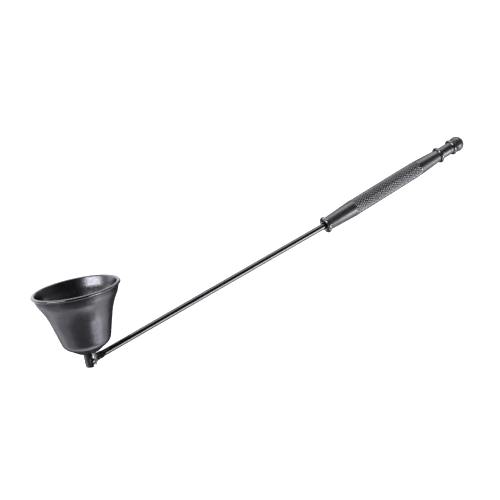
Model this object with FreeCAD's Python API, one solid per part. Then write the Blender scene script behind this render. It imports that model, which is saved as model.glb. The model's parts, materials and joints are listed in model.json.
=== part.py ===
import FreeCAD, Part
import math
import os

# Candle snuffer: a small bell, pinned by a slotted boss to the flattened end of a long rod, with a
# knurled handle. Millimetres and degrees. The wand is drawn along +X from the hinge pin, and so is the
# bell along its own axis, with the pin along Z in both. The bell is then turned to its resting angle,
# and the whole snuffer is laid on its side: the lip, the shoulder and the handle's rear ring touch the
# floor at Z = 0.

# ---- resting angles
BELL_ANGLE = 77.0  # from the rod's direction to the bell's mouth direction
HANDLE_LEAN = 1.8  # from the rod's line to the handle's, towards the mouth

# ---- hinge
PIN_RADIUS = 0.8
PIN_HEAD_RADIUS = 1.3
PIN_HEAD_HEIGHT = 0.5
PIN_CLEARANCE = 0.05  # radial, in the rod's eye
EYE_RADIUS = 2.0
BLADE_THICKNESS = 1.2
SLOT_CLEARANCE = 0.06  # on each side of the blade
SPOTFACE_RADIUS = 1.5
SPOTFACE_HEIGHT = 2.4  # from the boss's axis to each flat under a pin head

# ---- boss, along the bell's axis from the pin
BOSS_RADIUS = 2.85
BOSS_END = -2.75
BOSS_CHAMFER = 0.3
BOSS_ROUND = 2.4  # about the pin, on the rod's side of the free end
SLOT_FLOOR = 2.9
CROWN_SEAT = 4.1
SPIGOT_RADIUS = 2.0

# ---- bell cup
WALL = 1.0
PAD_RADIUS = 4.2  # flat on the crown under the boss
PAD_ARC = 1.5
SHOULDER_ARC = 5.0
FLARE_ARC = 30.0
LIP_ARC = 10.0
CROWN_SLOPE = 56.0  # tangent angles from the bell's axis
WALL_SLOPE = 15.0
FLARE_SLOPE = 32.0
LIP_SLOPE = 17.0
SHOULDER_START = 7.1
FLARE_START = 20.0
MOUTH = 34.0
BEAD_STATION = 33.4
BEAD_CENTRE_RADIUS = 19.35
BEAD_RADIUS = 0.7

# ---- crown screw and washer, inside the bell
SCREW_RADIUS = 1.25
SCREW_HEAD_RADIUS = 2.3
SCREW_HEAD_HEIGHT = 1.4
SCREW_EDGE = 0.5
SCREW_TIP_GAP = 0.1  # from the screw's tip to the slot's floor
DRIVER_SLOT_WIDTH = 0.6
DRIVER_SLOT_DEPTH = 0.7
WASHER_RADIUS = 2.9
WASHER_HOLE = 1.35
WASHER_THICKNESS = 0.5

# ---- rod, along the wand from the pin
ROD_RADIUS = 1.5
BLADE_END = 4.4
ROUND_START = 7.2
FERRULE_STATION = 133.2
ROD_ENGAGEMENT = 12.0  # threaded length in the grip

# ---- handle, along its own axis from the ferrule's bead
FERRULE_CENTRE_RADIUS = 3.35
FERRULE_BEAD = 0.9
FERRULE_BACK = 1.1
FRONT_NECK_RADIUS = 3.38
GRIP_RADIUS = 4.2
GRIP_START = 17.0
GRIP_END = 58.0
REAR_NECK_RADIUS = 3.15
GRIP_BACK = 74.0
REAR_RING_STATION = 74.8
REAR_RING_RADIUS = 4.25
END_RING_STATION = 83.6
END_RING_RADIUS = 4.1
RING_BEAD = 0.8
TAIL_NECK_RADIUS = 3.05
STUD_RADIUS = 2.0
STUD_LENGTH = 8.0
BALL_STATION = 87.2
BALL_RADIUS = 3.95
DRILL_GAP = 0.3  # hole beyond a thread's end

ORIGIN = FreeCAD.Vector(0, 0, 0)
ALONG = FreeCAD.Vector(1, 0, 0)
PIN_AXIS = FreeCAD.Vector(0, 0, 1)
OVERSHOOT = 1.0  # how far cutters pass the faces that they cut
TOLERANCE = 1e-6


def sin(angle):
    return math.sin(math.radians(angle))


def cos(angle):
    return math.cos(math.radians(angle))


def point(station, radius):
    return FreeCAD.Vector(station, radius, 0)


def cylinder(start, end, radius):
    """A cylinder on the X axis."""
    return Part.makeCylinder(radius, end - start, point(start, 0), ALONG)


def spin(edges):
    """The solid swept by a closed outline in the XY plane, turned about the X axis."""
    wire = Part.Wire(Part.__sortEdges__(edges))
    return Part.Face(wire).revolve(ORIGIN, ALONG, 360)


def lines(points):
    return [Part.makeLine(a, b) for a, b in zip(points, points[1:])]


def spin_points(points):
    return spin(lines(points + points[:1]))


def bead(station, centre_radius, radius):
    return Part.makeTorus(centre_radius, radius, point(station, 0), ALONG)


def arc_point(centre, radius, slope):
    """The point of an arc where its tangent makes this angle with the axis.

    A negative radius makes a hollow arc.
    """
    return centre + radius * point(-sin(slope), cos(slope))


def arc(centre, radius, first, last):
    """An arc between two tangent angles."""
    ends = [arc_point(centre, radius, s) for s in (first, (first + last) / 2, last)]
    return Part.Arc(*ends).toShape()


def run_to(start, slope, station):
    """The point at a station on the straight line that leaves a point at this angle to the axis."""
    return start + (station - start.x) * point(1, math.tan(math.radians(slope)))


# ---- the bell's outline: straight stretches and tangent arcs, each arc given by its centre
PAD_CENTRE = point(CROWN_SEAT + PAD_ARC, PAD_RADIUS)
SHOULDER_FIRST = run_to(arc_point(PAD_CENTRE, PAD_ARC, CROWN_SLOPE), CROWN_SLOPE, SHOULDER_START)
SHOULDER_CENTRE = arc_point(SHOULDER_FIRST, -SHOULDER_ARC, CROWN_SLOPE)
FLARE_FIRST = run_to(arc_point(SHOULDER_CENTRE, SHOULDER_ARC, WALL_SLOPE), WALL_SLOPE, FLARE_START)
FLARE_CENTRE = arc_point(FLARE_FIRST, FLARE_ARC, WALL_SLOPE)
LIP_CENTRE = arc_point(arc_point(FLARE_CENTRE, -FLARE_ARC, FLARE_SLOPE), -LIP_ARC, FLARE_SLOPE)


def bell_curve(depth):
    """The bell's outline from the crown's flat to the mouth, this far inside the outer surface."""
    bends = [
        (PAD_CENTRE, PAD_ARC - depth, 90, CROWN_SLOPE),
        (SHOULDER_CENTRE, SHOULDER_ARC - depth, CROWN_SLOPE, WALL_SLOPE),
        (FLARE_CENTRE, -FLARE_ARC - depth, WALL_SLOPE, FLARE_SLOPE),
        (LIP_CENTRE, LIP_ARC - depth, FLARE_SLOPE, LIP_SLOPE),
    ]
    last = point(CROWN_SEAT + depth, 0)
    curve = []
    for centre, radius, first, final in bends:
        start = arc_point(centre, radius, first)
        if last.distanceToPoint(start) > TOLERANCE:
            curve.append(Part.makeLine(last, start))
        curve.append(arc(centre, radius, first, final))
        last = arc_point(centre, radius, final)
    curve.append(Part.makeLine(last, run_to(last, LIP_SLOPE, MOUTH)))
    return curve


def bell_cup():
    """A thin wall with a hole for the boss's spigot, and a wire bead around a flat lip."""
    outer = bell_curve(0)
    inner = bell_curve(WALL)
    axis = Part.makeLine(point(CROWN_SEAT, 0), point(CROWN_SEAT + WALL, 0))
    lip = Part.makeLine(outer[-1].Vertexes[-1].Point, inner[-1].Vertexes[-1].Point)
    cup = spin(outer + inner + [axis, lip])
    cup = cup.fuse(bead(BEAD_STATION, BEAD_CENTRE_RADIUS, BEAD_RADIUS))
    cup = cup.cut(cylinder(MOUTH, MOUTH + OVERSHOOT, BEAD_CENTRE_RADIUS + 2 * BEAD_RADIUS))
    cup = cup.cut(cylinder(CROWN_SEAT - OVERSHOOT, CROWN_SEAT + WALL + OVERSHOOT, SPIGOT_RADIUS))
    return cup.removeSplitter()


def clevis_boss():
    """A slotted cylinder, cross drilled for the pin, with a tapped spigot that passes through the crown."""
    spigot_end = CROWN_SEAT + WALL
    body = spin_points([
        point(BOSS_END, 0),
        point(BOSS_END, BOSS_RADIUS - BOSS_CHAMFER),
        point(BOSS_END + BOSS_CHAMFER, BOSS_RADIUS),
        point(CROWN_SEAT, BOSS_RADIUS),
        point(CROWN_SEAT, SPIGOT_RADIUS),
        point(spigot_end, SPIGOT_RADIUS),
        point(spigot_end, 0),
    ])
    gap = BLADE_THICKNESS + 2 * SLOT_CLEARANCE
    slot_length = SLOT_FLOOR - BOSS_END + OVERSHOOT
    width = 2 * (BOSS_RADIUS + OVERSHOOT)
    slot_corner = FreeCAD.Vector(BOSS_END - OVERSHOOT, -width / 2, -gap / 2)
    body = body.cut(Part.makeBox(slot_length, width, gap, slot_corner))
    body = body.cut(cylinder(0, spigot_end + OVERSHOOT, SCREW_RADIUS))
    foot = FreeCAD.Vector(0, 0, -width / 2)
    quarter = Part.makeBox(width / 2, width / 2, width, FreeCAD.Vector(-width / 2, -width / 2, -width / 2))
    body = body.cut(quarter.cut(Part.makeCylinder(BOSS_ROUND, width, foot, PIN_AXIS)))
    body = body.cut(Part.makeCylinder(PIN_RADIUS, width, foot, PIN_AXIS))
    for side in (1, -1):
        face = FreeCAD.Vector(0, 0, side * SPOTFACE_HEIGHT)
        body = body.cut(Part.makeCylinder(SPOTFACE_RADIUS, OVERSHOOT, face, side * PIN_AXIS))
    return body


def hinge_pin():
    """A rivet: a shank through both cheeks, and a domed head on each side."""
    pin = Part.makeCylinder(PIN_RADIUS, 2 * SPOTFACE_HEIGHT, -SPOTFACE_HEIGHT * PIN_AXIS, PIN_AXIS)
    dome = (PIN_HEAD_RADIUS**2 + PIN_HEAD_HEIGHT**2) / (2 * PIN_HEAD_HEIGHT)
    for side in (1, -1):
        outward = side * PIN_AXIS
        blank = Part.makeCylinder(PIN_HEAD_RADIUS, PIN_HEAD_HEIGHT, SPOTFACE_HEIGHT * outward, outward)
        centre = (SPOTFACE_HEIGHT + PIN_HEAD_HEIGHT - dome) * outward
        pin = pin.fuse(blank.common(Part.makeSphere(dome, centre)))
    return pin.removeSplitter()


def crown_washer():
    """A flat washer under the screw's head, against the crown's inside."""
    seat = CROWN_SEAT + WALL
    disc = cylinder(seat, seat + WASHER_THICKNESS, WASHER_RADIUS)
    return disc.cut(cylinder(seat - OVERSHOOT, seat + OVERSHOOT, WASHER_HOLE))


def crown_screw():
    """A pan head screw with a straight driver slot. Its thread is a plain cylinder."""
    seat = CROWN_SEAT + WALL + WASHER_THICKNESS
    top = seat + SCREW_HEAD_HEIGHT
    screw = spin_points([
        point(SLOT_FLOOR + SCREW_TIP_GAP, 0),
        point(SLOT_FLOOR + SCREW_TIP_GAP, SCREW_RADIUS),
        point(seat, SCREW_RADIUS),
        point(seat, SCREW_HEAD_RADIUS),
        point(top - SCREW_EDGE, SCREW_HEAD_RADIUS),
        point(top, SCREW_HEAD_RADIUS - SCREW_EDGE),
        point(top, 0),
    ])
    corner = FreeCAD.Vector(top - DRIVER_SLOT_DEPTH, -SCREW_HEAD_RADIUS, -DRIVER_SLOT_WIDTH / 2)
    return screw.cut(Part.makeBox(OVERSHOOT, 2 * SCREW_HEAD_RADIUS, DRIVER_SLOT_WIDTH, corner))


def four_sided(station, corners):
    """A closed wire across the wand through four corners, with straight sides."""
    places = [FreeCAD.Vector(station, y, z) for y, z in corners]
    return Part.Wire(lines(places + places[:1]))


def four_arcs(station, radius):
    """A circle across the wand, split at its four diagonals."""
    def rim(angle):
        return FreeCAD.Vector(station, radius * cos(angle), radius * sin(angle))
    return Part.Wire([Part.Arc(rim(a), rim(a + 45), rim(a + 90)).toShape() for a in (-45, 45, 135, 225)])


def snuffer_rod():
    """A round rod, pressed flat at one end into a blade with an eye, and threaded into the grip."""
    half = BLADE_THICKNESS / 2
    slope = math.degrees(math.asin((EYE_RADIUS - ROD_RADIUS) / ROUND_START))
    tangent = FreeCAD.Vector(EYE_RADIUS * sin(slope), EYE_RADIUS * cos(slope), -half)
    end_width = tangent.y - (BLADE_END - tangent.x) * math.tan(math.radians(slope))
    outline = [
        tangent,
        FreeCAD.Vector(BLADE_END, end_width, -half),
        FreeCAD.Vector(BLADE_END, -end_width, -half),
        FreeCAD.Vector(tangent.x, -tangent.y, -half),
    ]
    blade = Part.Face(Part.Wire(lines(outline + outline[:1]))).extrude(BLADE_THICKNESS * PIN_AXIS)
    foot = FreeCAD.Vector(0, 0, -half)
    blade = blade.fuse(Part.makeCylinder(EYE_RADIUS, BLADE_THICKNESS, foot, PIN_AXIS))
    corners = [(end_width, -half), (end_width, half), (-end_width, half), (-end_width, -half)]
    flare = Part.makeLoft([four_sided(BLADE_END, corners), four_arcs(ROUND_START, ROD_RADIUS)], True, True)
    shank = cylinder(ROUND_START, FERRULE_STATION + FERRULE_BACK + ROD_ENGAGEMENT, ROD_RADIUS)
    rod = blade.fuse([flare, shank]).removeSplitter()
    return rod.cut(Part.makeCylinder(PIN_RADIUS + PIN_CLEARANCE, BLADE_THICKNESS, foot, PIN_AXIS))


def on_handle(shape):
    """Moves a handle piece from its own axis to its place behind the rod."""
    shape.rotate(ORIGIN, PIN_AXIS, HANDLE_LEAN)
    shape.translate(FERRULE_STATION * ALONG)
    return shape


def rod_hole():
    """The hole for the rod, in line with the rod and so leaning in the handle."""
    end = FERRULE_STATION + FERRULE_BACK + ROD_ENGAGEMENT + DRILL_GAP
    return cylinder(FERRULE_STATION - OVERSHOOT, end, ROD_RADIUS)


def front_ferrule():
    """A round bead with a flat back, hollowed around the rod at the front."""
    disc = cylinder(0, FERRULE_BACK, FERRULE_CENTRE_RADIUS)
    ferrule = bead(0, FERRULE_CENTRE_RADIUS, FERRULE_BEAD).fuse(disc).removeSplitter()
    return on_handle(ferrule).cut(rod_hole())


def knurled_grip():
    """A turned bar: plain tapers, a knurled middle at its crest size, and a tapped hole in each end."""
    grip = spin_points([
        point(FERRULE_BACK, 0),
        point(FERRULE_BACK, FRONT_NECK_RADIUS),
        point(GRIP_START, GRIP_RADIUS),
        point(GRIP_END, GRIP_RADIUS),
        point(GRIP_BACK, REAR_NECK_RADIUS),
        point(GRIP_BACK, 0),
    ])
    grip = grip.cut(cylinder(GRIP_BACK - STUD_LENGTH - DRILL_GAP, GRIP_BACK + OVERSHOOT, STUD_RADIUS))
    return on_handle(grip).cut(rod_hole())


def neck_ring(station, radius):
    """A round bead pressed onto the tail's neck."""
    ring = bead(station, radius - RING_BEAD, RING_BEAD)
    return on_handle(ring.cut(cylinder(station - OVERSHOOT, station + OVERSHOOT, TAIL_NECK_RADIUS)))


def ball_finial():
    """One turned piece: a threaded stud, a plain neck and a ball."""
    finial = cylinder(GRIP_BACK - STUD_LENGTH, BALL_STATION, STUD_RADIUS)
    finial = finial.fuse(cylinder(GRIP_BACK, BALL_STATION, TAIL_NECK_RADIUS))
    return on_handle(finial.fuse(Part.makeSphere(BALL_RADIUS, point(BALL_STATION, 0))).removeSplitter())


def on_bell(shape):
    """Turns a bell piece from the X axis to its resting angle about the pin."""
    shape.rotate(ORIGIN, PIN_AXIS, BELL_ANGLE)
    return shape


def lying_pose():
    """The placement that sets the lip's bead, the bell's shoulder and the rear ring on the floor.

    The floor is found in the drawing's own axes, as its upward normal and the pin's height above it.
    """
    rise = BEAD_CENTRE_RADIUS - SHOULDER_CENTRE.y
    run = BEAD_STATION - SHOULDER_CENTRE.x
    tilt = math.atan2(rise, run) - math.asin((SHOULDER_ARC - BEAD_RADIUS) / math.hypot(rise, run))
    height = math.cos(tilt) * BEAD_CENTRE_RADIUS - math.sin(tilt) * BEAD_STATION + BEAD_RADIUS
    ring_x = FERRULE_STATION + REAR_RING_STATION * cos(HANDLE_LEAN)
    ring_y = REAR_RING_STATION * sin(HANDLE_LEAN)
    along_bell = math.sin(tilt)
    drop = REAR_RING_RADIUS - height
    spread = ring_x * sin(BELL_ANGLE) - ring_y * cos(BELL_ANGLE)
    normal_x = (drop * sin(BELL_ANGLE) - along_bell * ring_y) / spread
    normal_y = (along_bell * ring_x - drop * cos(BELL_ANGLE)) / spread
    up = FreeCAD.Vector(normal_x, normal_y, math.sqrt(1 - normal_x**2 - normal_y**2))
    forward = (ALONG - up * ALONG.dot(up)).normalize()
    across = up.cross(forward)
    matrix = FreeCAD.Matrix(
        forward.x, forward.y, forward.z, 0,
        across.x, across.y, across.z, 0,
        up.x, up.y, up.z, height)
    return FreeCAD.Placement(matrix)


def build():
    bell = {"bell_cup": bell_cup, "clevis_boss": clevis_boss, "hinge_pin": hinge_pin,
            "crown_washer": crown_washer, "crown_screw": crown_screw}
    wand = {"snuffer_rod": snuffer_rod, "front_ferrule": front_ferrule, "knurled_grip": knurled_grip,
            "ball_finial": ball_finial}
    nodes = {name: on_bell(make()) for name, make in bell.items()}
    nodes.update({name: make() for name, make in wand.items()})
    nodes["rear_ring"] = neck_ring(REAR_RING_STATION, REAR_RING_RADIUS)
    nodes["end_ring"] = neck_ring(END_RING_STATION, END_RING_RADIUS)
    pose = lying_pose().toMatrix()
    for shape in nodes.values():
        shape.transformShape(pose)
    box = Part.makeCompound(list(nodes.values())).optimalBoundingBox(False)
    centre = FreeCAD.Vector(-box.Center.x, -box.Center.y, 0)
    for shape in nodes.values():
        shape.translate(centre)
    return nodes, pose, centre


NODES, POSE, CENTRE = build()
HINGE = POSE.multVec(ORIGIN) + CENTRE
HINGE_AXIS = POSE.multVec(PIN_AXIS) - POSE.multVec(ORIGIN)
print("hinge", tuple(HINGE), "axis", tuple(HINGE_AXIS))
os.makedirs("parts", exist_ok=True)
for name, shape in NODES.items():
    shape.exportStep("parts/%s.step" % name)
    print(name, "solids", len(shape.Solids), "valid", shape.isValid(), "volume", round(shape.Volume, 2))
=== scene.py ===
import json
import math

import bmesh
import bpy
from mathutils import Euler, Matrix, Vector


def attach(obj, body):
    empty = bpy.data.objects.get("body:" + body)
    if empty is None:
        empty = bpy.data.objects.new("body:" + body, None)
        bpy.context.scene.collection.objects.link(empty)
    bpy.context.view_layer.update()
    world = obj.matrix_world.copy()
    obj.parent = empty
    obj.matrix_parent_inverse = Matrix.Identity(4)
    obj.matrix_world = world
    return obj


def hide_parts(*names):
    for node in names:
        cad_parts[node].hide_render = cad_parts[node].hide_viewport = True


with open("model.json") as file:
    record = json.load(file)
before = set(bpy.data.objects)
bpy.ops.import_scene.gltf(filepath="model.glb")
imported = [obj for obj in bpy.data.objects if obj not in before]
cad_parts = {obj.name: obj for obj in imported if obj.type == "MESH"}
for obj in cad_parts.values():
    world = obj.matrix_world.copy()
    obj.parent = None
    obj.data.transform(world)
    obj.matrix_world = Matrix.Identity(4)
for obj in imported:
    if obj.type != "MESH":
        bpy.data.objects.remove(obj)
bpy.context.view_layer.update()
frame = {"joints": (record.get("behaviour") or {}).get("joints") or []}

MM = 0.001
WHITE = (1, 1, 1, 1)
PALE = (0.8, 0.8, 0.8, 1)

# ---- the design's own sizes, in millimetres and degrees. Stations run along each piece's own axis, from
# the pin on the bell and the rod, and from the ferrule's bead on the handle.
BELL_ANGLE = 77.0
HANDLE_LEAN = 1.8
FERRULE_STATION = 133.2

PIN_RADIUS = 0.8
PIN_HEAD_RADIUS = 1.3
PIN_HEAD_HEIGHT = 0.5
PIN_CLEARANCE = 0.05
EYE_RADIUS = 2.0
BLADE_THICKNESS = 1.2
SLOT_CLEARANCE = 0.06
SPOTFACE_RADIUS = 1.5
SPOTFACE_HEIGHT = 2.4

BOSS_RADIUS = 2.85
BOSS_END = -2.75
BOSS_EDGE = 0.3
BOSS_ROUND = 2.4  # about the pin, on the rod's side of the free end
BOSS_BREAK = 0.12  # the bevel on the edges that its cutters leave
SLOT_FLOOR = 2.9
CROWN_SEAT = 4.1
SPIGOT_RADIUS = 2.0

WALL = 1.0
PAD_RADIUS = 4.2
PAD_ARC = 1.5
SHOULDER_ARC = 5.0
FLARE_ARC = 30.0
LIP_ARC = 10.0
CROWN_SLOPE = 56.0
WALL_SLOPE = 15.0
FLARE_SLOPE = 32.0
LIP_SLOPE = 17.0
SHOULDER_START = 7.1
FLARE_START = 20.0
MOUTH = 34.0
BEAD_STATION = 33.4
BEAD_CENTRE_RADIUS = 19.35
BEAD_RADIUS = 0.7
BEAD_FOOT = 188.0  # the polar angle about the bead's centre where it leaves the outer wall
LIP_EDGE = 0.6
RIM_START = 32.9  # where the polished rim takes over from the bell's satin wall

SCREW_RADIUS = 1.25
SCREW_HEAD_RADIUS = 2.3
SCREW_HEAD_HEIGHT = 1.4
SCREW_EDGE = 0.5
SCREW_TIP_GAP = 0.1
DRIVER_SLOT_WIDTH = 0.6
DRIVER_SLOT_DEPTH = 0.7
WASHER_RADIUS = 2.9
WASHER_HOLE = 1.35
WASHER_THICKNESS = 0.5

ROD_RADIUS = 1.5
BLADE_END = 4.4
ROUND_START = 7.2
ROD_ENGAGEMENT = 12.0
BLADE_POWER = 12  # how square the blade's section is
EYE_ROWS = 12
FLARE_ROWS = 10

FERRULE_CENTRE_RADIUS = 3.35
FERRULE_BEAD = 0.9
FERRULE_BACK = 1.1
FRONT_NECK_RADIUS = 3.38
GRIP_RADIUS = 4.2
GRIP_START = 17.0
GRIP_END = 58.0
KNURL_END = 60.5
REAR_NECK_RADIUS = 3.15
GRIP_BACK = 74.0
REAR_RING_STATION = 74.8
REAR_RING_RADIUS = 4.25
END_RING_STATION = 83.6
END_RING_RADIUS = 4.1
RING_BEAD = 0.8
TAIL_NECK_RADIUS = 3.05
STUD_RADIUS = 2.0
STUD_LENGTH = 8.0
BALL_STATION = 87.2
BALL_RADIUS = 3.95

KNURL_STARTS = 24
KNURL_STEPS = 6
KNURL_DEPTH = 0.22
KNURL_ANGLE = 30.0
KNURL_FLAT = 0.8  # the share of each diamond's half width that slopes down into its grooves
KNURL_FADE = 4  # rows over which the grooves run out at each end
KNURL_MARGINS = (0.1, 0.3)  # the plain rows beside the knurl

SEGMENTS = 192
FINE = 48  # segments of the hinge's small pieces
ARC_STEP = 6.0  # degrees of arc from one outline point to the next
SOFT_EDGE = 0.15
SHARP_ANGLE = 40.0
ON_AXIS = 1e-6  # millimetres, below which a row is one vertex
MERGE_DISTANCE = 1e-7  # metres

# ---- the three working axes: the wand along X from the pin, the bell and the handle turned from it
joint = frame["joints"][0]
HINGE = Vector(joint["pos_m"])
PIN_DIRECTION = Vector(joint["axis"]).normalized()
ROD_DIRECTION = Vector((PIN_DIRECTION.z, 0, -PIN_DIRECTION.x)).normalized()
AXES = Matrix((ROD_DIRECTION, PIN_DIRECTION.cross(ROD_DIRECTION), PIN_DIRECTION)).transposed().to_4x4()
ON_WAND = Matrix.Translation(HINGE) @ AXES @ Matrix.Scale(MM, 4)
ON_BELL = ON_WAND @ Matrix.Rotation(math.radians(BELL_ANGLE), 4, "Z")
LEAN = Matrix.Rotation(math.radians(HANDLE_LEAN), 4, "Z")
ON_HANDLE = ON_WAND @ Matrix.Translation((FERRULE_STATION, 0, 0)) @ LEAN
ON_PIN = ON_BELL @ Matrix.Rotation(math.radians(-90), 4, "Y")


# ================================================================ outlines, as (station, radius) points

def sin(angle):
    return math.sin(math.radians(angle))


def cos(angle):
    return math.cos(math.radians(angle))


def steps(span, step=ARC_STEP):
    """How many parts a turn of this many degrees is divided into."""
    return max(1, math.ceil(abs(span) / step))


def arc(centre, radius, first, last):
    """Points round a centre between two polar angles, counted from the axis's direction."""
    count = steps(last - first)
    angles = [first + (last - first) * i / count for i in range(count + 1)]
    return [centre + radius * Vector((cos(a), sin(a))) for a in angles]


def rounded(corners):
    """A closed outline through (station, radius, rounding) corners, each rounded by a tangent arc."""
    outline = []
    for i, (station, radius, rounding) in enumerate(corners):
        here = Vector((station, radius))
        if rounding == 0:
            outline.append(here)
            continue
        before = (Vector(corners[i - 1][:2]) - here).normalized()
        after = (Vector(corners[(i + 1) % len(corners)][:2]) - here).normalized()
        half = before.angle(after) / 2
        centre = here + (before + after).normalized() * rounding / math.sin(half)
        spoke = here + before * rounding / math.tan(half) - centre
        turn = math.degrees(math.pi - 2 * half)
        side = 1 if before.cross(after) < 0 else -1
        count = steps(turn, 4 * ARC_STEP)
        for k in range(count + 1):
            outline.append(centre + Matrix.Rotation(math.radians(side * turn * k / count), 2) @ spoke)
    return outline


def arc_point(centre, radius, slope):
    """The point of an arc where its tangent makes this angle with the axis.

    A negative radius makes a hollow arc.
    """
    return centre + radius * Vector((-sin(slope), cos(slope)))


def run_to(start, slope, station):
    """The point at a station on the straight line that leaves a point at this angle to the axis."""
    return start + (station - start.x) * Vector((1, math.tan(math.radians(slope))))


def bell_bends():
    """The bell's arcs, as in the design: centre, radius, first and last tangent angle."""
    pad = Vector((CROWN_SEAT + PAD_ARC, PAD_RADIUS))
    shoulder_first = run_to(arc_point(pad, PAD_ARC, CROWN_SLOPE), CROWN_SLOPE, SHOULDER_START)
    shoulder = arc_point(shoulder_first, -SHOULDER_ARC, CROWN_SLOPE)
    flare_first = run_to(arc_point(shoulder, SHOULDER_ARC, WALL_SLOPE), WALL_SLOPE, FLARE_START)
    flare = arc_point(flare_first, FLARE_ARC, WALL_SLOPE)
    lip = arc_point(arc_point(flare, -FLARE_ARC, FLARE_SLOPE), -LIP_ARC, FLARE_SLOPE)
    return [
        (pad, PAD_ARC, 90, CROWN_SLOPE),
        (shoulder, SHOULDER_ARC, CROWN_SLOPE, WALL_SLOPE),
        (flare, -FLARE_ARC, WALL_SLOPE, FLARE_SLOPE),
        (lip, LIP_ARC, FLARE_SLOPE, LIP_SLOPE),
    ]


def bell_curve(depth):
    """The bell's outline from the crown's flat to the lip, this far inside the outer surface."""
    curve = []
    for centre, radius, first, last in bell_bends():
        count = steps(last - first, ARC_STEP / 3)
        for i in range(count + 1):
            curve.append(arc_point(centre, radius - depth, first + (last - first) * i / count))
    return curve


# ================================================================ meshes

def finish_mesh(name, mesh, place, body, node, material):
    """Sets a closed mesh in its place as the piece that stands for a CAD node."""
    mesh.transform(place)
    work = bmesh.new()
    work.from_mesh(mesh)
    bmesh.ops.remove_doubles(work, verts=work.verts, dist=MERGE_DISTANCE)
    bmesh.ops.recalc_face_normals(work, faces=work.faces)
    work.to_mesh(mesh)
    work.free()
    for face in mesh.polygons:
        face.use_smooth = True
    mesh.set_sharp_from_angle(angle=math.radians(SHARP_ANGLE))
    mesh.materials.clear()
    mesh.materials.append(material)
    piece = bpy.data.objects.new(name, mesh)
    bpy.context.scene.collection.objects.link(piece)
    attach(piece, body)
    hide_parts(node)


def refinish(mesh, material, chosen):
    """Gives the chosen faces a second material."""
    mesh.materials.append(material)
    for face, is_chosen in zip(mesh.polygons, chosen):
        face.material_index = int(is_chosen)


def ring(work, station, radius, segments):
    """A row of vertices round the axis, or one vertex on it."""
    if radius < ON_AXIS:
        return [work.verts.new((station, 0, 0))]
    angles = [360 * i / segments for i in range(segments)]
    return [work.verts.new((station, radius * cos(a), radius * sin(a))) for a in angles]


def skin(work, first, second):
    """Faces between two rows, either of which may be a single vertex on the axis."""
    count = max(len(first), len(second))
    if count == 1:
        return
    for i in range(count):
        j = (i + 1) % count
        if len(first) == 1:
            work.faces.new((first[0], second[i], second[j]))
        elif len(second) == 1:
            work.faces.new((first[i], first[j], second[0]))
        else:
            work.faces.new((first[i], first[j], second[j], second[i]))


def turned(outline, segments=SEGMENTS):
    """The mesh swept by a closed outline turned about the X axis."""
    work = bmesh.new()
    rows = [ring(work, p.x, max(p.y, 0), segments) for p in outline]
    for i in range(len(rows)):
        skin(work, rows[i - 1], rows[i])
    mesh = bpy.data.meshes.new("turned")
    work.to_mesh(mesh)
    work.free()
    return mesh


def block(low, high):
    """A box from its lowest to its highest corner."""
    work = bmesh.new()
    size = Vector(high) - Vector(low)
    place = Matrix.Translation((Vector(low) + Vector(high)) / 2) @ Matrix.Diagonal((*size, 1))
    bmesh.ops.create_cube(work, size=1, matrix=place)
    mesh = bpy.data.meshes.new("block")
    work.to_mesh(mesh)
    work.free()
    return mesh


def bar(radius, low, high):
    """A round bar along the pin's direction."""
    mesh = turned([Vector(p) for p in ((low, 0), (low, radius), (high, radius), (high, 0))], FINE)
    mesh.transform(Matrix.Rotation(math.radians(-90), 4, "Y"))
    return mesh


def carved(mesh, cutters, edge=0.0):
    """The mesh with the cutters taken away and, if asked, its sharp edges broken."""
    scene = bpy.context.scene
    solid = bpy.data.objects.new("carved", mesh)
    scene.collection.objects.link(solid)
    tools = []
    for cutter in cutters:
        tool = bpy.data.objects.new("cutter", cutter)
        scene.collection.objects.link(tool)
        tools.append(tool)
        cut = solid.modifiers.new("cut", "BOOLEAN")
        cut.operation = "DIFFERENCE"
        cut.solver = "EXACT"
        cut.object = tool
    if edge:
        bevel = solid.modifiers.new("edge", "BEVEL")
        bevel.width = edge
        bevel.segments = 2
        bevel.limit_method = "ANGLE"
        bevel.angle_limit = math.radians(SHARP_ANGLE)
    bpy.context.view_layer.update()
    result = bpy.data.meshes.new_from_object(solid.evaluated_get(bpy.context.evaluated_depsgraph_get()))
    for thing in [solid] + tools:
        bpy.data.objects.remove(thing)
    return result


# ================================================================ the bell's pieces

def bell_cup(material, rim_material):
    """A thin spun wall with a polished wire bead round its lip and a hole for the boss's spigot."""
    outer = bell_curve(0)
    inner = bell_curve(WALL)
    inner_end = run_to(inner[-1], LIP_SLOPE, MOUTH)
    bead = Vector((BEAD_STATION, BEAD_CENTRE_RADIUS))
    flat = math.degrees(math.acos((MOUTH - BEAD_STATION) / BEAD_RADIUS))
    outline = [Vector((CROWN_SEAT, SPIGOT_RADIUS))] + outer
    outline += arc(bead, BEAD_RADIUS, BEAD_FOOT, flat)
    lip = rounded([
        (MOUTH, BEAD_CENTRE_RADIUS, 0),
        (inner_end.x, inner_end.y, LIP_EDGE),
        (inner[-1].x, inner[-1].y, 0),
    ])
    outline += lip[1:-1] + inner[::-1] + [Vector((CROWN_SEAT + WALL, SPIGOT_RADIUS))]
    mesh = turned(outline, 2 * SEGMENTS)
    on_rim = []
    for face in mesh.polygons:
        on_bead = face.center.x > RIM_START and face.center.yz.length > BEAD_CENTRE_RADIUS
        on_rim.append(on_bead or face.center.x > MOUTH - LIP_EDGE / 2)
    finish_mesh("bell", mesh, ON_BELL, "bell", "bell_cup", material)
    refinish(mesh, rim_material, on_rim)


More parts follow.
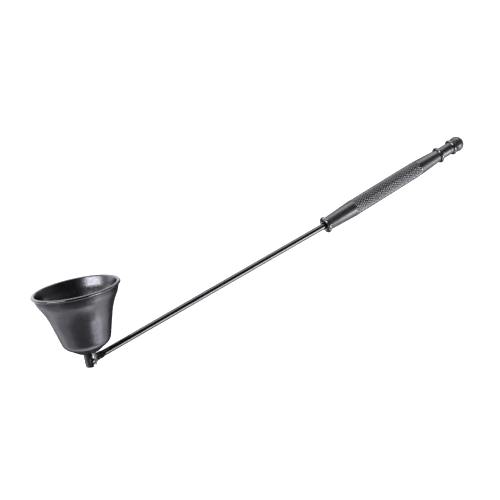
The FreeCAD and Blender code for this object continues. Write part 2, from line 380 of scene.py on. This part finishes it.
def clevis_boss(material):
    """A slotted and cross drilled cylinder with a tapped spigot through the crown."""
    spigot_end = CROWN_SEAT + WALL
    blank = turned(rounded([
        (BOSS_END, 0, 0),
        (BOSS_END, BOSS_RADIUS, BOSS_EDGE),
        (CROWN_SEAT, BOSS_RADIUS, SOFT_EDGE),
        (CROWN_SEAT, SPIGOT_RADIUS, 0),
        (spigot_end, SPIGOT_RADIUS, 0),
        (spigot_end, SCREW_RADIUS, 0),
        (SLOT_FLOOR - SLOT_CLEARANCE, SCREW_RADIUS, 0),
        (SLOT_FLOOR - SLOT_CLEARANCE, 0, 0),
    ]), 2 * FINE)
    gap = BLADE_THICKNESS / 2 + SLOT_CLEARANCE
    far = 2 * BOSS_RADIUS
    corner = block((-far, -far, -far), (0, 0, far))
    corner = carved(corner, [bar(BOSS_ROUND, -2 * far, 2 * far)])
    cutters = [
        block((-far, -far, -gap), (SLOT_FLOOR, far, gap)),
        corner,
        bar(PIN_RADIUS, -far, far),
        bar(SPOTFACE_RADIUS, SPOTFACE_HEIGHT, far),
        bar(SPOTFACE_RADIUS, -far, -SPOTFACE_HEIGHT),
    ]
    boss = carved(blank, cutters, BOSS_BREAK)
    finish_mesh("boss", boss, ON_BELL, "bell", "clevis_boss", material)


def hinge_pin(material):
    """A rivet with a low domed head at each end."""
    dome = (PIN_HEAD_RADIUS**2 + PIN_HEAD_HEIGHT**2) / (2 * PIN_HEAD_HEIGHT)
    middle = Vector((SPOTFACE_HEIGHT + PIN_HEAD_HEIGHT - dome, 0))
    spread = math.degrees(math.asin(PIN_HEAD_RADIUS / dome))
    count = steps(spread)
    angles = [spread * i / count for i in range(count + 1)]
    head = [middle + dome * Vector((cos(a), sin(a))) for a in angles]
    half = head + [Vector((SPOTFACE_HEIGHT, PIN_RADIUS))]
    outline = half + [Vector((-p.x, p.y)) for p in half[::-1]]
    finish_mesh("pin", turned(outline, FINE), ON_PIN, "bell", "hinge_pin", material)


def crown_washer(material):
    """A flat washer under the screw's head."""
    seat = CROWN_SEAT + WALL
    top = seat + WASHER_THICKNESS
    outline = rounded([
        (seat, WASHER_HOLE, 0),
        (seat, WASHER_RADIUS, SOFT_EDGE / 2),
        (top, WASHER_RADIUS, SOFT_EDGE),
        (top, WASHER_HOLE, SOFT_EDGE / 2),
    ])
    washer = turned(outline, FINE)
    finish_mesh("washer", washer, ON_BELL, "bell", "crown_washer", material)


def crown_screw(material):
    """A pan head screw with a straight driver slot."""
    seat = CROWN_SEAT + WALL + WASHER_THICKNESS
    top = seat + SCREW_HEAD_HEIGHT
    blank = turned(rounded([
        (SLOT_FLOOR + SCREW_TIP_GAP, 0, 0),
        (SLOT_FLOOR + SCREW_TIP_GAP, SCREW_RADIUS, SOFT_EDGE),
        (seat, SCREW_RADIUS, 0),
        (seat, SCREW_HEAD_RADIUS, SOFT_EDGE / 2),
        (top, SCREW_HEAD_RADIUS, 2 * SCREW_EDGE),
        (top, 0, 0),
    ]), FINE)
    half = DRIVER_SLOT_WIDTH / 2
    wide = 2 * SCREW_HEAD_RADIUS
    slot = block((top - DRIVER_SLOT_DEPTH, -wide, -half), (top + SCREW_HEAD_HEIGHT, wide, half))
    screw = carved(blank, [slot])
    finish_mesh("screw", screw, ON_BELL, "bell", "crown_screw", material)


# ================================================================ the wand's pieces

def section(work, station, half_width, half_height, power):
    """A row of vertices round a section that is round at power 2 and nearly square at a high power."""
    row = []
    for i in range(FINE):
        c = cos(360 * i / FINE)
        s = sin(360 * i / FINE)
        y = math.copysign(abs(c) ** (2 / power), c)
        z = math.copysign(abs(s) ** (2 / power), s)
        row.append(work.verts.new((station, half_width * y, half_height * z)))
    return row


def snuffer_rod(material):
    """A round rod pressed flat at one end into a blade with an eye."""
    half = BLADE_THICKNESS / 2
    slope = math.asin((EYE_RADIUS - ROD_RADIUS) / ROUND_START)
    tangent = EYE_RADIUS * math.sin(slope)
    end_width = EYE_RADIUS * math.cos(slope) - (BLADE_END - tangent) * math.tan(slope)
    work = bmesh.new()
    rows = []
    for i in range(EYE_ROWS + 1):
        angle = (90 + math.degrees(slope)) * (i + 0.5) / (EYE_ROWS + 0.5)
        rows.append(section(work, -EYE_RADIUS * cos(angle), EYE_RADIUS * sin(angle), half, BLADE_POWER))
    for i in range(FLARE_ROWS + 1):
        t = i / FLARE_ROWS
        ease = t * t * (3 - 2 * t)
        station = BLADE_END + (ROUND_START - BLADE_END) * t
        width = end_width + (ROD_RADIUS - end_width) * ease
        height = half + (ROD_RADIUS - half) * ease
        power = 2 + (BLADE_POWER - 2) * (1 - ease) ** 3
        rows.append(section(work, station, width, height, power))
    end = FERRULE_STATION + FERRULE_BACK + ROD_ENGAGEMENT
    rows.append(section(work, end - SOFT_EDGE, ROD_RADIUS, ROD_RADIUS, 2))
    rows.append(section(work, end, ROD_RADIUS - SOFT_EDGE, ROD_RADIUS - SOFT_EDGE, 2))
    for first, second in zip(rows, rows[1:]):
        skin(work, first, second)
    work.faces.new(rows[0])
    work.faces.new(rows[-1])
    bmesh.ops.recalc_face_normals(work, faces=work.faces)
    mesh = bpy.data.meshes.new("rod")
    work.to_mesh(mesh)
    work.free()
    mesh = carved(mesh, [bar(PIN_RADIUS + PIN_CLEARANCE, -EYE_RADIUS, EYE_RADIUS)])
    finish_mesh("rod", mesh, ON_WAND, "wand", "snuffer_rod", material)


def front_ferrule(material):
    """A round bead with a flat back, hollowed round the rod at the front."""
    centre = Vector((0, FERRULE_CENTRE_RADIUS))
    hole = ROD_RADIUS + PIN_CLEARANCE
    outline = [Vector((0, hole))]
    outline += arc(centre, FERRULE_BEAD, 270, 0)
    outline += [Vector((FERRULE_BACK, FERRULE_CENTRE_RADIUS)), Vector((FERRULE_BACK, hole))]
    finish_mesh("ferrule", turned(outline), ON_HANDLE, "wand", "front_ferrule", material)


def knurl_drop(first, second):
    """How far the surface lies below the knurl's crests, by its place across the two sets of grooves."""
    nearest = min(abs(first - round(first)), abs(second - round(second)))
    return KNURL_DEPTH * max(0.0, 1 - 2 * nearest / KNURL_FLAT)


def grip_radius(station):
    """The grip's crest radius."""
    if station < GRIP_START:
        share = (station - FERRULE_BACK) / (GRIP_START - FERRULE_BACK)
        return FRONT_NECK_RADIUS + share * (GRIP_RADIUS - FRONT_NECK_RADIUS)
    if station < GRIP_END:
        return GRIP_RADIUS
    share = (station - GRIP_END) / (GRIP_BACK - GRIP_END)
    return GRIP_RADIUS + share * (REAR_NECK_RADIUS - GRIP_RADIUS)


def knurl_rows(work, segments):
    """The knurl's rows of vertices, every other one turned by half a step."""
    pitch = 2 * math.pi * GRIP_RADIUS / KNURL_STARTS / math.tan(math.radians(KNURL_ANGLE))
    row_step = pitch / (2 * KNURL_STEPS)
    row_count = 2 * round((KNURL_END - GRIP_START) / row_step / 2)
    row_step = (KNURL_END - GRIP_START) / row_count
    rows = []
    for row in range(row_count + 1):
        station = GRIP_START + row * row_step
        along = row / 2
        fade = min(1.0, min(row, row_count - row) / KNURL_FADE)
        verts = []
        for i in range(segments):
            across = i + 0.5 * (row % 2)
            drop = knurl_drop((across + along) / KNURL_STEPS, (across - along) / KNURL_STEPS)
            radius = grip_radius(station) - drop * fade
            angle = 360 * across / segments
            verts.append(work.verts.new((station, radius * cos(angle), radius * sin(angle))))
        rows.append(verts)
    return rows


def knurl_faces(work, rows, segments):
    """Small diamonds between the rows, and a row of triangles at each end."""
    for i in range(segments):
        right = (i + 1) % segments
        work.faces.new((rows[0][i], rows[0][right], rows[1][i]))
        work.faces.new((rows[-1][i], rows[-1][right], rows[-2][i]))
    for row in range(1, len(rows) - 1):
        before, here, after = rows[row - 1:row + 2]
        for i in range(segments):
            right = (i + 1) % segments
            middle = right if row % 2 else i
            work.faces.new((here[i], before[middle], here[right], after[middle]))


def knurled_grip(material, knurl_material):
    """Plain tapers at both ends, and between them a diamond knurl cut by two crossing sets of grooves.

    The knurl's vertices lie where the grooves' own directions cross, so its faces are small diamonds.
    """
    segments = KNURL_STARTS * KNURL_STEPS
    hole = ROD_RADIUS + PIN_CLEARANCE
    hole_end = FERRULE_BACK + ROD_ENGAGEMENT + SOFT_EDGE
    lean_room = ROD_ENGAGEMENT * sin(HANDLE_LEAN)
    front = [
        (hole_end, 0),
        (hole_end, hole + lean_room),
        (FERRULE_BACK, hole),
        (FERRULE_BACK, FRONT_NECK_RADIUS - SOFT_EDGE),
        (FERRULE_BACK + SOFT_EDGE / 3, FRONT_NECK_RADIUS - SOFT_EDGE / 3),
        (FERRULE_BACK + SOFT_EDGE, grip_radius(FERRULE_BACK + SOFT_EDGE)),
    ]
    front += [(GRIP_START - m, grip_radius(GRIP_START - m)) for m in reversed(KNURL_MARGINS)]
    stud_hole = STUD_RADIUS + PIN_CLEARANCE
    stud_hole_end = GRIP_BACK - STUD_LENGTH - SOFT_EDGE
    back = [(KNURL_END + m, grip_radius(KNURL_END + m)) for m in KNURL_MARGINS]
    back += [
        (GRIP_BACK - SOFT_EDGE, grip_radius(GRIP_BACK - SOFT_EDGE)),
        (GRIP_BACK, REAR_NECK_RADIUS - SOFT_EDGE),
        (GRIP_BACK, stud_hole),
        (stud_hole_end, stud_hole),
        (stud_hole_end, 0),
    ]
    work = bmesh.new()
    front_rows = [ring(work, s, r, segments) for s, r in front]
    knurl = knurl_rows(work, segments)
    back_rows = [ring(work, s, r, segments) for s, r in back]
    knurl_faces(work, knurl, segments)
    for rows in (front_rows + knurl[:1], knurl[-1:] + back_rows):
        for first, second in zip(rows, rows[1:]):
            skin(work, first, second)
    mesh = bpy.data.meshes.new("grip")
    work.to_mesh(mesh)
    work.free()
    on_knurl = [GRIP_START < face.center.x < KNURL_END for face in mesh.polygons]
    finish_mesh("grip", mesh, ON_HANDLE, "wand", "knurled_grip", material)
    refinish(mesh, knurl_material, on_knurl)


def neck_ring(name, node, station, radius, material):
    """A round bead pressed onto the tail's neck."""
    centre = Vector((station, radius - RING_BEAD))
    foot = math.degrees(math.asin((TAIL_NECK_RADIUS - centre.y) / RING_BEAD))
    outline = arc(centre, RING_BEAD, foot, 180 - foot)
    finish_mesh(name, turned(outline), ON_HANDLE, "wand", node, material)


def ball_finial(material):
    """A stud, a plain neck and a ball, turned from one bar."""
    join = math.degrees(math.asin(TAIL_NECK_RADIUS / BALL_RADIUS))
    outline = [Vector(p) for p in (
        (GRIP_BACK - STUD_LENGTH, 0),
        (GRIP_BACK - STUD_LENGTH, STUD_RADIUS),
        (GRIP_BACK, STUD_RADIUS),
        (GRIP_BACK, TAIL_NECK_RADIUS),
    )]
    outline += arc(Vector((BALL_STATION, 0)), BALL_RADIUS, 180 - join, 0)
    finish_mesh("finial", turned(outline), ON_HANDLE, "wand", "ball_finial", material)


# ================================================================ materials

PLATED_EDGE = 0.45  # how much of a bare metal's grazing reflection a black plated surface keeps
ROD_EDGE = 0.2
POLISHED_EDGE = 0.75

CLOUD_SIZE = 6.0  # millimetres
NOISE_RANGE = (0.3, 0.7)  # the noise's values that a spread runs between
RELIEF_HEIGHT = 0.05  # millimetres
GLOSS_SPREAD = 0.05
WORN_GAIN = 2.0  # a worn edge's colour, as a multiple of the paler colour
WORN_MOST = 0.6
WORN_POINTINESS = (0.52, 0.6)
GROOVE_SHADE_GAIN = 0.2  # painted shade in grooves and hollows: their colour, as a share of the darker colour
GROOVE_SHADE_POINTINESS = (0.42, 0.49)

# darker colour, paler colour, roughness, grain in millimetres, relief, grazing reflection
FINISHES = {
    "bell_black": ((0.12, 0.119, 0.135), (0.15, 0.149, 0.168), 0.28, 1.2, 0.03, PLATED_EDGE),
    "rim_black": ((0.12, 0.119, 0.135), (0.15, 0.149, 0.168), 0.12, 1.2, 0.02, POLISHED_EDGE),
    "hardware_black": ((0.12, 0.12, 0.13), (0.16, 0.16, 0.172), 0.16, 0.8, 0.02, PLATED_EDGE),
    "rod_black": ((0.1, 0.1, 0.107), (0.13, 0.13, 0.139), 0.09, 1.0, 0.02, ROD_EDGE),
    "handle_black": ((0.15, 0.15, 0.16), (0.18, 0.18, 0.192), 0.4, 0.8, 0.03, PLATED_EDGE),
    "knurl_black": ((0.16, 0.16, 0.17), (0.2, 0.2, 0.213), 0.24, 0.8, 0.03, PLATED_EDGE),
    "bead_black": ((0.22, 0.22, 0.235), (0.26, 0.26, 0.278), 0.16, 0.8, 0.02, POLISHED_EDGE),
}


def coating(name, dark, light, roughness, grain, relief, edge):
    """A black plated finish: cloudy colour, uneven gloss, fine grain, paler worn edges and painted shade in
    its grooves and hollows.
    """
    material = bpy.data.materials.new(name)
    material.use_nodes = True
    nodes = material.node_tree.nodes
    links = material.node_tree.links
    shader = nodes["Principled BSDF"]
    place = nodes.new("ShaderNodeTexCoord")

    def noise(size, detail):
        node = nodes.new("ShaderNodeTexNoise")
        node.inputs["Scale"].default_value = 1 / (size * MM)
        node.inputs["Detail"].default_value = detail
        links.new(place.outputs["Object"], node.inputs["Vector"])
        return node.outputs["Fac"]

    def spread(value, low, high, within=NOISE_RANGE):
        node = nodes.new("ShaderNodeMapRange")
        node.inputs["From Min"].default_value = within[0]
        node.inputs["From Max"].default_value = within[1]
        node.inputs["To Min"].default_value = low
        node.inputs["To Max"].default_value = high
        links.new(value, node.inputs["Value"])
        return node.outputs["Result"]

    def turning_to(colour, factor):
        node = nodes.new("ShaderNodeMix")
        node.data_type = "RGBA"
        node.inputs["B"].default_value = (*colour, 1)
        links.new(factor, node.inputs["Factor"])
        return node

    pointiness = nodes.new("ShaderNodeNewGeometry").outputs["Pointiness"]
    fine = noise(grain, 2.0)
    cloudy = turning_to(light, spread(noise(CLOUD_SIZE, 3.0), 0, 1))
    cloudy.inputs["A"].default_value = (*dark, 1)
    worn = turning_to([WORN_GAIN * c for c in light], spread(pointiness, 0, WORN_MOST, WORN_POINTINESS))
    links.new(cloudy.outputs["Result"], worn.inputs["A"])
    # painted shade: where the mesh's pointiness is low, in grooves and hollows, the colour darkens towards
    # a share of the darker colour
    groove_shade = turning_to([GROOVE_SHADE_GAIN * c for c in dark], spread(pointiness, 1, 0, GROOVE_SHADE_POINTINESS))
    links.new(worn.outputs["Result"], groove_shade.inputs["A"])
    links.new(groove_shade.outputs["Result"], shader.inputs["Base Color"])
    gloss = spread(fine, roughness - GLOSS_SPREAD, roughness + GLOSS_SPREAD)
    links.new(gloss, shader.inputs["Roughness"])
    bump = nodes.new("ShaderNodeBump")
    bump.inputs["Strength"].default_value = relief
    bump.inputs["Distance"].default_value = RELIEF_HEIGHT * MM
    links.new(fine, bump.inputs["Height"])
    links.new(bump.outputs["Normal"], shader.inputs["Normal"])
    shader.inputs["Metallic"].default_value = 1.0
    shader.inputs["Specular Tint"].default_value = (edge, edge, edge, 1)
    return material


def floor_white():
    """A white floor. In reflections it is dimmer, with painted light that changes from left to right and
    painted shade below the bell and along the wand.
    """
    material = bpy.data.materials.new("floor_white")
    material.use_nodes = True
    nodes = material.node_tree.nodes
    links = material.node_tree.links
    place = nodes.new("ShaderNodeTexCoord").outputs["Object"]
    split = nodes.new("ShaderNodeSeparateXYZ")
    links.new(place, split.inputs["Vector"])

    def math_node(operation, first, second):
        node = nodes.new("ShaderNodeMath")
        node.operation = operation
        links.new(first, node.inputs[0])
        if isinstance(second, float):
            node.inputs[1].default_value = second
        else:
            links.new(second, node.inputs[1])
        return node.outputs["Value"]

    def ramp(value, first, last, to_first, to_last):
        node = nodes.new("ShaderNodeMapRange")
        node.interpolation_type = "SMOOTHSTEP"
        node.inputs["From Min"].default_value = first * MM
        node.inputs["From Max"].default_value = last * MM
        node.inputs["To Min"].default_value = to_first
        node.inputs["To Max"].default_value = to_last
        links.new(value, node.inputs["Value"])
        return node.outputs["Result"]

    # painted shade on the floor, seen only in reflections: round below the bell and in a strip along the
    # wand
    away = nodes.new("ShaderNodeVectorMath")
    away.operation = "DISTANCE"
    away.inputs[1].default_value = [MM * c for c in BELL_SHADE]
    links.new(place, away.inputs[0])
    bell_shade = ramp(away.outputs["Value"], *BELL_SHADE_EDGE, SHADE_GLOW, 1.0)
    beside = math_node("ABSOLUTE", math_node("SUBTRACT", split.outputs["Y"], WAND_SHADE * MM), 0.0)
    past_end = ramp(split.outputs["X"], *WAND_SHADE_END, 1.0, 0.0)
    wand_shade = math_node("MAXIMUM", ramp(beside, *WAND_SHADE_EDGE, SHADE_GLOW, 1.0), past_end)
    # painted light on the floor, seen only in reflections: brightest in the middle, dimmer to the left and
    # the right
    from_left = ramp(split.outputs["X"], *LEFT_FALL, LEFT_GLOW, MIDDLE_GLOW)
    to_right = ramp(split.outputs["X"], *RIGHT_FALL, 1.0, RIGHT_GLOW / MIDDLE_GLOW)
    glow = math_node("MULTIPLY", from_left, to_right)
    shade = math_node("MULTIPLY", bell_shade, wand_shade)
    seen = nodes.new("ShaderNodeEmission")
    links.new(math_node("MULTIPLY", glow, shade), seen.inputs["Strength"])
    shader = nodes["Principled BSDF"]
    shader.inputs["Base Color"].default_value = PALE
    shader.inputs["Roughness"].default_value = 1.0
    shader.inputs["Specular IOR Level"].default_value = 0.0
    shader.inputs["Emission Color"].default_value = WHITE
    shader.inputs["Emission Strength"].default_value = FLOOR_GLOW
    # glossy rays see the painted light and shade; all other rays see the plain white floor
    rays = nodes.new("ShaderNodeLightPath")
    mix = nodes.new("ShaderNodeMixShader")
    links.new(rays.outputs["Is Glossy Ray"], mix.inputs["Fac"])
    links.new(shader.outputs["BSDF"], mix.inputs[1])
    links.new(seen.outputs["Emission"], mix.inputs[2])
    links.new(mix.outputs["Shader"], nodes["Material Output"].inputs["Surface"])
    return material


# ================================================================ stage, lights and camera

CAMERA_PLACE = (-87.6, 161.9, 438.8)  # millimetres from the pin, along the wand's axes
CAMERA_TURN = (-7.777, -27.223, -24.121)  # degrees, about the same axes
LENS = 75.6  # millimetres
NEAR_CLIP = 0.01  # metres
FLOOR_SIZE = 6.0  # metres
LIGHT_DISTANCE = 1.6  # metres
FLOOR_GLOW = 1.0
FLOOR_DROP = 50.0  # millimetres below the object, clear of the bell's whole swing
BELL_SHADE = (-88.0, -45.0, 0.0)  # millimetres, the middle of the bell's painted shade on the floor, seen only in reflections
BELL_SHADE_EDGE = (60.0, 76.0)  # distances from its middle over which it fades out
WAND_SHADE = -17.0  # millimetres along Y, the middle of the wand's painted shade on the floor
WAND_SHADE_EDGE = (40.0, 130.0)  # distances from its middle over which it fades out
WAND_SHADE_END = (-50.0, 0.0)  # stretch of X over which it fades in
# what is left of the floor's painted light inside its painted shade
SHADE_GLOW = 0.1
LEFT_FALL = (-240.0, -150.0)  # stretch of X over which the left painted light turns to the middle one
RIGHT_FALL = (-140.0, 60.0)  # stretch of X over which the middle painted light turns to the right one
# strengths of the floor's painted light, seen only in reflections, from the left to the right
LEFT_GLOW = 0.65
MIDDLE_GLOW = 2.3
RIGHT_GLOW = 1.1
OVERHEAD = 0.03
HORIZON = 0.2
ROOM_FALL = (0.1, 1.0)  # heights on the unit sphere between the horizon's glow and the overhead one

# direction from X and elevation in degrees, width and height in metres, radiance
LIGHTS = {
    "key_light": (-66, 33, 1.0, 0.62, 6.5),
    "low_light": (-54, 8, 1.4, 0.45, 2.4),
    "fill_light": (66, 15, 1.8, 1.0, 1.9),
    "side_light": (154, 26, 0.42, 1.3, 8.0),
}


def floor():
    """A flat white sheet, below the object."""
    half = FLOOR_SIZE / 2
    corners = [(-half, -half, 0), (half, -half, 0), (half, half, 0), (-half, half, 0)]
    mesh = bpy.data.meshes.new("floor")
    mesh.from_pydata(corners, [], [(0, 1, 2, 3)])
    mesh.materials.append(floor_white())
    sheet = bpy.data.objects.new("floor", mesh)
    sheet.location.z = -FLOOR_DROP * MM
    bpy.context.scene.collection.objects.link(sheet)


def softbox(name, azimuth, elevation, width, height, radiance):
    """A rectangular light of a given brightness, facing the object from a compass direction."""
    data = bpy.data.lights.new(name, "AREA")
    data.shape = "RECTANGLE"
    data.size = width
    data.size_y = height
    data.energy = radiance * math.pi * width * height
    lamp = bpy.data.objects.new(name, data)
    back = Vector((cos(azimuth) * cos(elevation), sin(azimuth) * cos(elevation), sin(elevation)))
    lamp.location = back * LIGHT_DISTANCE
    lamp.rotation_euler = back.to_track_quat("Z", "Y").to_euler()
    bpy.context.scene.collection.objects.link(lamp)


def surroundings():
    """A dim studio, darker overhead, for the reflections and the light, and a white backdrop to the eye."""
    world = bpy.data.worlds.new("studio")
    bpy.context.scene.world = world
    world.use_nodes = True
    nodes = world.node_tree.nodes
    links = world.node_tree.links
    room = nodes["Background"]
    room.inputs["Color"].default_value = WHITE
    place = nodes.new("ShaderNodeTexCoord")
    split = nodes.new("ShaderNodeSeparateXYZ")
    links.new(place.outputs["Generated"], split.inputs["Vector"])
    height = nodes.new("ShaderNodeMapRange")
    height.interpolation_type = "SMOOTHSTEP"
    height.inputs["From Min"].default_value = ROOM_FALL[0]
    height.inputs["From Max"].default_value = ROOM_FALL[1]
    height.inputs["To Min"].default_value = HORIZON
    height.inputs["To Max"].default_value = OVERHEAD
    links.new(split.outputs["Z"], height.inputs["Value"])
    links.new(height.outputs["Result"], room.inputs["Strength"])
    backdrop = nodes.new("ShaderNodeBackground")
    backdrop.inputs["Color"].default_value = WHITE
    rays = nodes.new("ShaderNodeLightPath")
    mix = nodes.new("ShaderNodeMixShader")
    links.new(rays.outputs["Is Camera Ray"], mix.inputs["Fac"])
    links.new(room.outputs["Background"], mix.inputs[1])
    links.new(backdrop.outputs["Background"], mix.inputs[2])
    links.new(mix.outputs["Shader"], nodes["World Output"].inputs["Surface"])


def camera():
    """The camera, placed by the wand's own axes."""
    data = bpy.data.cameras.new("camera")
    data.lens = LENS
    data.clip_start = NEAR_CLIP
    eye = bpy.data.objects.new("camera", data)
    turn = Euler([math.radians(a) for a in CAMERA_TURN]).to_matrix().to_4x4()
    eye.matrix_world = Matrix.Translation(ON_WAND @ Vector(CAMERA_PLACE)) @ AXES @ turn
    bpy.context.scene.collection.objects.link(eye)
    bpy.context.scene.camera = eye


def main():
    bpy.context.scene.view_settings.view_transform = "Standard"
    finish = {name: coating(name, *values) for name, values in FINISHES.items()}
    bell_cup(finish["bell_black"], finish["rim_black"])
    clevis_boss(finish["hardware_black"])
    hinge_pin(finish["hardware_black"])
    crown_washer(finish["hardware_black"])
    crown_screw(finish["hardware_black"])
    snuffer_rod(finish["rod_black"])
    front_ferrule(finish["bead_black"])
    knurled_grip(finish["handle_black"], finish["knurl_black"])
    neck_ring("rear_bead", "rear_ring", REAR_RING_STATION, REAR_RING_RADIUS, finish["bead_black"])
    neck_ring("end_bead", "end_ring", END_RING_STATION, END_RING_RADIUS, finish["bead_black"])
    ball_finial(finish["handle_black"])
    floor()
    surroundings()
    for name, values in LIGHTS.items():
        softbox(name, *values)
    camera()


main()
